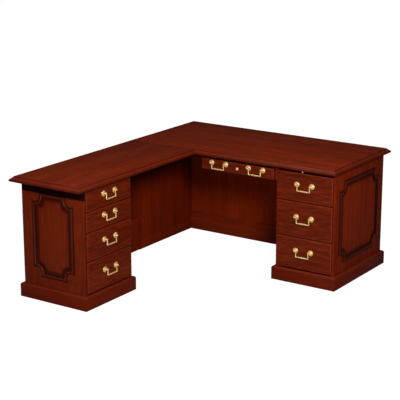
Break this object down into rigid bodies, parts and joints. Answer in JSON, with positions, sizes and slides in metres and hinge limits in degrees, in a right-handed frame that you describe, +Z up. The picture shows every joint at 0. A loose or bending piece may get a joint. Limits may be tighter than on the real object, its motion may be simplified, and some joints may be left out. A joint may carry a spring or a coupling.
{
  "type": "corner desk",
  "caption": "L-shaped pedestal desk with a return, moulded tops and bases, lipped drawers with bail pulls, a locking centre drawer and a pull-out writing slide.",
  "frame": {"origin": "on the floor under the middle of the desk's bounding box", "axes": "+Z up, +X to the right for the sitter, who faces +Y; the main desk lies along the back and the return runs forward at the left"},
  "size_m": [1.535, 1.915, 0.762],
  "materials": {
    "mahogany_top": "polished satin",
    "mahogany_case": "satin",
    "mahogany_front": "satin",
    "mahogany_moulding": "satin",
    "drawer_timber": "oiled",
    "aged_brass": "lacquered",
    "glide_felt": "matt"
  },
  "bodies": {
    "desk": {"main_top": "mahogany_top", "return_top": "mahogany_top", "right_end_panel": "mahogany_case", "right_partition": "mahogany_case", "left_end_panel": "mahogany_case", "return_back_panel": "mahogany_case", "return_end_panel": "mahogany_case", "return_partition": "mahogany_case", "modesty_panels": "mahogany_case", "modesty_rail": "mahogany_case", "knee_trim": "mahogany_case", "case_floors": "drawer_timber", "front_rails": "mahogany_case", "right_base": "mahogany_moulding", "outer_base": "mahogany_moulding", "return_base": "mahogany_moulding", "right_moulding": "mahogany_moulding", "return_moulding": "mahogany_moulding", "right_dividers": "drawer_timber", "return_dividers": "drawer_timber", "centre_drawer_hangers": "drawer_timber", "floor_glides": "glide_felt", "top_fixing_blocks": "drawer_timber"},
    "right_drawer_1": {"right_drawer_1_front": "mahogany_front", "right_drawer_1_box": "drawer_timber", "right_drawer_1_posts": "aged_brass"},
    "right_drawer_1_bail": {"right_drawer_1_bail": "aged_brass"},
    "right_drawer_2": {"right_drawer_2_front": "mahogany_front", "right_drawer_2_box": "drawer_timber", "right_drawer_2_posts": "aged_brass"},
    "right_drawer_2_bail": {"right_drawer_2_bail": "aged_brass"},
    "right_drawer_3": {"right_drawer_3_front": "mahogany_front", "right_drawer_3_box": "drawer_timber", "right_drawer_3_posts": "aged_brass"},
    "right_drawer_3_bail": {"right_drawer_3_bail": "aged_brass"},
    "return_drawer_1": {"return_drawer_1_front": "mahogany_front", "return_drawer_1_box": "drawer_timber", "return_drawer_1_posts": "aged_brass"},
    "return_drawer_1_bail": {"return_drawer_1_bail": "aged_brass"},
    "return_drawer_2": {"return_drawer_2_front": "mahogany_front", "return_drawer_2_box": "drawer_timber", "return_drawer_2_posts": "aged_brass"},
    "return_drawer_2_bail": {"return_drawer_2_bail": "aged_brass"},
    "return_drawer_3": {"return_drawer_3_front": "mahogany_front", "return_drawer_3_box": "drawer_timber", "return_drawer_3_posts": "aged_brass"},
    "return_drawer_3_bail": {"return_drawer_3_bail": "aged_brass"},
    "return_drawer_4": {"return_drawer_4_front": "mahogany_front", "return_drawer_4_box": "drawer_timber", "return_drawer_4_posts": "aged_brass"},
    "return_drawer_4_bail": {"return_drawer_4_bail": "aged_brass"},
    "centre_drawer": {"centre_drawer_front": "mahogany_front", "centre_drawer_box": "drawer_timber", "centre_drawer_posts": "aged_brass", "lock_collar": "aged_brass"},
    "centre_drawer_left_bail": {"centre_drawer_left_bail": "aged_brass"},
    "centre_drawer_right_bail": {"centre_drawer_right_bail": "aged_brass"},
    "lock_cylinder": {"lock_cylinder": "aged_brass"},
    "writing_slide": {"writing_slide": "mahogany_front", "writing_slide_knob": "aged_brass"}
  },
  "joints": [
    {"name": "right_drawer_1_slide", "type": "slide", "parent": "desk", "child": "right_drawer_1", "axis": [0, -1, 0], "range_m": [0, 0.42]},
    {"name": "right_drawer_1_bail_swing", "type": "hinge", "parent": "right_drawer_1", "child": "right_drawer_1_bail", "pos_m": [0.5395, 0.2265, 0.636], "axis": [-1, 0, 0], "range_deg": [-14, 85]},
    {"name": "right_drawer_2_slide", "type": "slide", "parent": "desk", "child": "right_drawer_2", "axis": [0, -1, 0], "range_m": [0, 0.42]},
    {"name": "right_drawer_2_bail_swing", "type": "hinge", "parent": "right_drawer_2", "child": "right_drawer_2_bail", "pos_m": [0.5395, 0.2265, 0.4305], "axis": [-1, 0, 0], "range_deg": [-14, 85]},
    {"name": "right_drawer_3_slide", "type": "slide", "parent": "desk", "child": "right_drawer_3", "axis": [0, -1, 0], "range_m": [0, 0.42]},
    {"name": "right_drawer_3_bail_swing", "type": "hinge", "parent": "right_drawer_3", "child": "right_drawer_3_bail", "pos_m": [0.5395, 0.2265, 0.2145], "axis": [-1, 0, 0], "range_deg": [-14, 85]},
    {"name": "return_drawer_1_slide", "type": "slide", "parent": "desk", "child": "return_drawer_1", "axis": [1, 0, 0], "range_m": [0, 0.3]},
    {"name": "return_drawer_1_bail_swing", "type": "hinge", "parent": "return_drawer_1", "child": "return_drawer_1_bail", "pos_m": [-0.2565, -0.641, 0.6755], "axis": [0, -1, 0], "range_deg": [-14, 85]},
    {"name": "return_drawer_2_slide", "type": "slide", "parent": "desk", "child": "return_drawer_2", "axis": [1, 0, 0], "range_m": [0, 0.3]},
    {"name": "return_drawer_2_bail_swing", "type": "hinge", "parent": "return_drawer_2", "child": "return_drawer_2_bail", "pos_m": [-0.2565, -0.641, 0.547], "axis": [0, -1, 0], "range_deg": [-14, 85]},
    {"name": "return_drawer_3_slide", "type": "slide", "parent": "desk", "child": "return_drawer_3", "axis": [1, 0, 0], "range_m": [0, 0.3]},
    {"name": "return_drawer_3_bail_swing", "type": "hinge", "parent": "return_drawer_3", "child": "return_drawer_3_bail", "pos_m": [-0.2565, -0.641, 0.396], "axis": [0, -1, 0], "range_deg": [-14, 85]},
    {"name": "return_drawer_4_slide", "type": "slide", "parent": "desk", "child": "return_drawer_4", "axis": [1, 0, 0], "range_m": [0, 0.3]},
    {"name": "return_drawer_4_bail_swing", "type": "hinge", "parent": "return_drawer_4", "child": "return_drawer_4_bail", "pos_m": [-0.2565, -0.641, 0.21], "axis": [0, -1, 0], "range_deg": [-14, 85]},
    {"name": "centre_drawer_slide", "type": "slide", "parent": "desk", "child": "centre_drawer", "axis": [0, -1, 0], "range_m": [0, 0.3]},
    {"name": "centre_drawer_left_bail_swing", "type": "hinge", "parent": "centre_drawer", "child": "centre_drawer_left_bail", "pos_m": [-0.08067, 0.2265, 0.6894], "axis": [-1, 0, 0], "range_deg": [-14, 85]},
    {"name": "centre_drawer_right_bail_swing", "type": "hinge", "parent": "centre_drawer", "child": "centre_drawer_right_bail", "pos_m": [0.19167, 0.2265, 0.6894], "axis": [-1, 0, 0], "range_deg": [-14, 85]},
    {"name": "lock_turn", "type": "hinge", "parent": "centre_drawer", "child": "lock_cylinder", "pos_m": [0.0555, 0.2415, 0.673], "axis": [0, -1, 0], "range_deg": [0, 90]},
    {"name": "writing_slide_slide", "type": "slide", "parent": "desk", "child": "writing_slide", "axis": [0, -1, 0], "range_m": [0, 0.32]}
  ]
}
